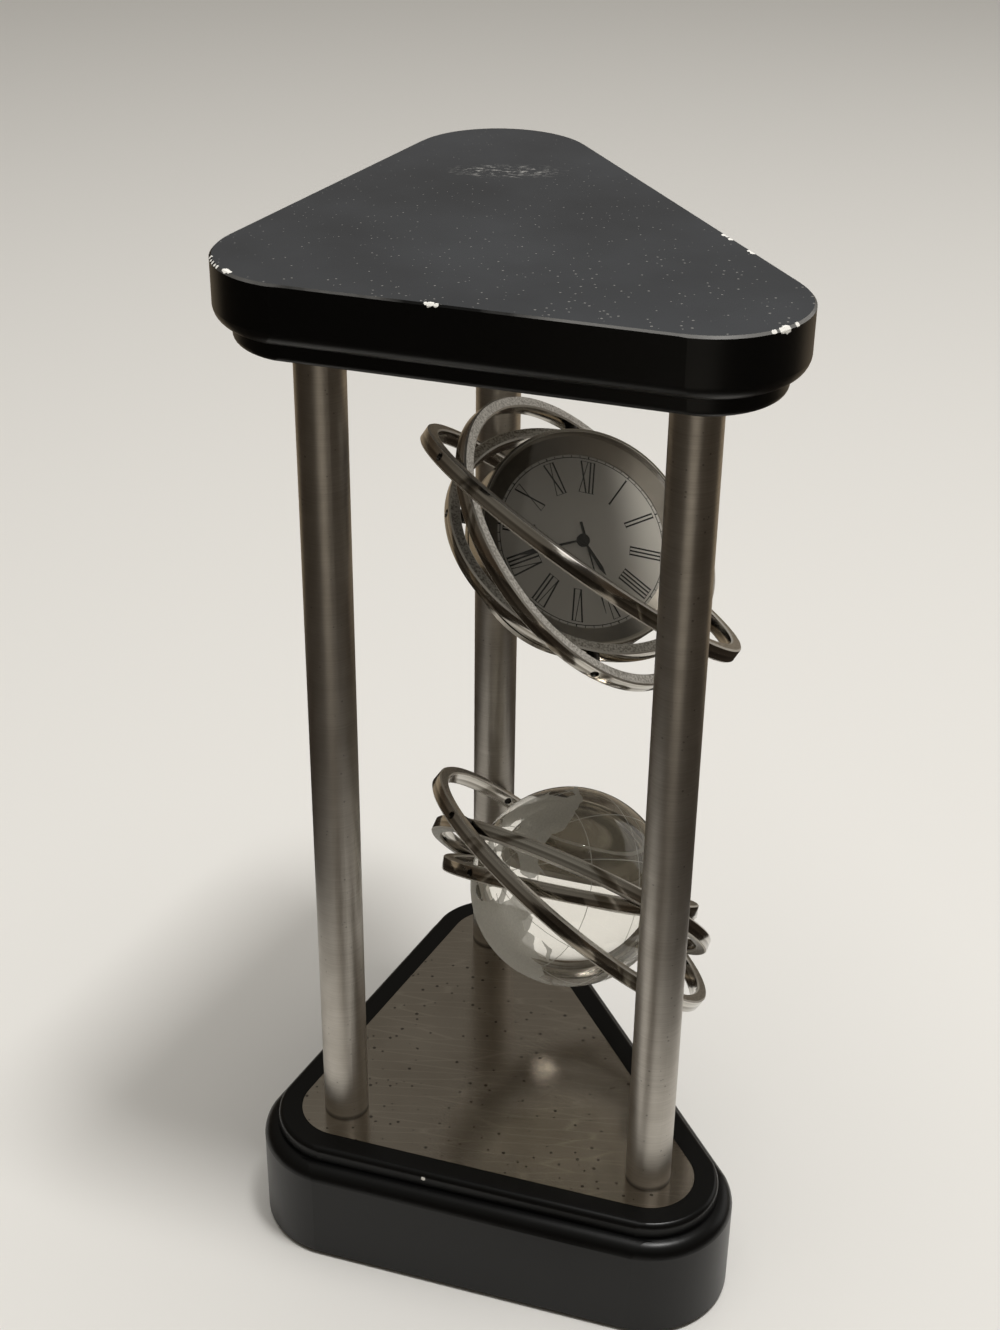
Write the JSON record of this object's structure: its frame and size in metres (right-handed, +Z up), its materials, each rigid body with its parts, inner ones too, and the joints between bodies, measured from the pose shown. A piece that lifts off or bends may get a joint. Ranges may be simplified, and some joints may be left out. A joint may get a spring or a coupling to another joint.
{
  "type": "spinning desk clock",
  "caption": "Desk clock and crystal globe, each hung in nested pivoting rings between steel posts that join a triangular black base and cap.",
  "frame": {"origin": "middle of the base's underside, in plan the middle of the base's own bounding box", "axes": "+Z up; X along the gimbal lines, from the left post to the right post; the single front post is at -Y"},
  "size_m": [0.143, 0.1169, 0.257],
  "materials": {
    "lacquered_wood": "black lacquer, satin",
    "inlay_steel": "satin, scratched",
    "felt": "felt",
    "fastener_steel": "zinc plated",
    "insert_brass": "turned",
    "post_steel": "satin, turned",
    "ring_steel": "polished round faces, satin sides",
    "pin_steel": "turned",
    "case_steel": "satin, turned",
    "bezel_chrome": "polished",
    "lens_glass": "clear",
    "dial_paint": "silver, matt",
    "hand_paint": "black, satin",
    "holder_plastic": "moulded",
    "movement_plastic": "moulded",
    "cell_steel": "nickel plated",
    "crystal": "clear crystal, frosted map",
    "bush_aluminium": "turned"
  },
  "bodies": {
    "stand": {"base_plinth": "lacquered_wood", "base_inlay": "inlay_steel", "base_felt": "felt", "base_screws": "fastener_steel", "base_washers": "fastener_steel", "front_post": "post_steel", "right_post": "post_steel", "left_post": "post_steel", "top_cap": "lacquered_wood", "cap_studs": "fastener_steel", "cap_inserts": "insert_brass", "clock_post_pins": "pin_steel", "globe_post_pins": "pin_steel"},
    "clock_outer": {"clock_outer_ring": "ring_steel", "clock_outer_pins": "pin_steel"},
    "clock_middle": {"clock_middle_ring": "ring_steel", "clock_middle_pins": "pin_steel"},
    "clock_inner": {"clock_inner_ring": "ring_steel", "clock_inner_pins": "pin_steel"},
    "clock": {"clock_case": "case_steel", "clock_bezel": "bezel_chrome", "clock_lens": "lens_glass", "clock_dial": "dial_paint", "movement_holder": "holder_plastic", "movement": "movement_plastic", "button_cell": "cell_steel", "clock_back": "case_steel"},
    "hour": {"hour_hand": "hand_paint"},
    "minute": {"minute_hand": "hand_paint"},
    "second": {"second_hand": "hand_paint"},
    "knob": {"setting_knob": "movement_plastic"},
    "globe_outer": {"globe_outer_ring": "ring_steel", "globe_outer_pins": "pin_steel"},
    "globe_middle": {"globe_middle_ring": "ring_steel", "globe_middle_pins": "pin_steel"},
    "globe_inner": {"globe_inner_ring": "ring_steel", "globe_inner_pins": "pin_steel"},
    "globe": {"crystal_globe": "crystal", "globe_bushes": "bush_aluminium"}
  },
  "joints": [
    {"name": "clock_outer_turn", "type": "hinge", "parent": "stand", "child": "clock_outer", "pos_m": [0, 0.03025, 0.1817], "axis": [1, 0, 0], "continuous": true},
    {"name": "clock_middle_turn", "type": "hinge", "parent": "clock_outer", "child": "clock_middle", "pos_m": [0, 0.03025, 0.1817], "axis": [0, 0.7923, -0.6101], "continuous": true},
    {"name": "clock_inner_turn", "type": "hinge", "parent": "clock_middle", "child": "clock_inner", "pos_m": [0, 0.03025, 0.1817], "axis": [0.8704, -0.3004, -0.3901], "continuous": true},
    {"name": "clock_turn", "type": "hinge", "parent": "clock_inner", "child": "clock", "pos_m": [0, 0.03025, 0.1817], "axis": [0.1916, 0.9365, -0.2937], "continuous": true},
    {"name": "hour_turn", "type": "hinge", "parent": "clock", "child": "hour", "pos_m": [0, 0.03025, 0.1817], "axis": [-0.7331, -0.0624, -0.6772], "continuous": true},
    {"name": "minute_turn", "type": "hinge", "parent": "clock", "child": "minute", "pos_m": [0, 0.03025, 0.1817], "axis": [-0.7331, -0.0624, -0.6772], "continuous": true},
    {"name": "second_turn", "type": "hinge", "parent": "clock", "child": "second", "pos_m": [0, 0.03025, 0.1817], "axis": [-0.7331, -0.0624, -0.6772], "continuous": true},
    {"name": "knob_turn", "type": "hinge", "parent": "clock", "child": "knob", "pos_m": [0, 0.03025, 0.1817], "axis": [-0.7331, -0.0624, -0.6772], "continuous": true},
    {"name": "globe_outer_turn", "type": "hinge", "parent": "stand", "child": "globe_outer", "pos_m": [0, 0.03025, 0.0848], "axis": [1, 0, 0], "continuous": true},
    {"name": "globe_middle_turn", "type": "hinge", "parent": "globe_outer", "child": "globe_middle", "pos_m": [0, 0.03025, 0.0848], "axis": [0, 0.7325, -0.6807], "continuous": true},
    {"name": "globe_inner_turn", "type": "hinge", "parent": "globe_middle", "child": "globe_inner", "pos_m": [0, 0.03025, 0.0848], "axis": [0.9003, 0.2963, 0.3188], "continuous": true},
    {"name": "globe_turn", "type": "hinge", "parent": "globe_inner", "child": "globe", "pos_m": [0, 0.03025, 0.0848], "axis": [-0.1302, 0.8823, -0.4523], "continuous": true}
  ],
  "couplings": [
    {"joint": "minute_turn", "follows": "second_turn", "ratio": 0.016667},
    {"joint": "hour_turn", "follows": "second_turn", "ratio": 0.0013889},
    {"joint": "knob_turn", "follows": "second_turn", "ratio": 0.016667}
  ]
}
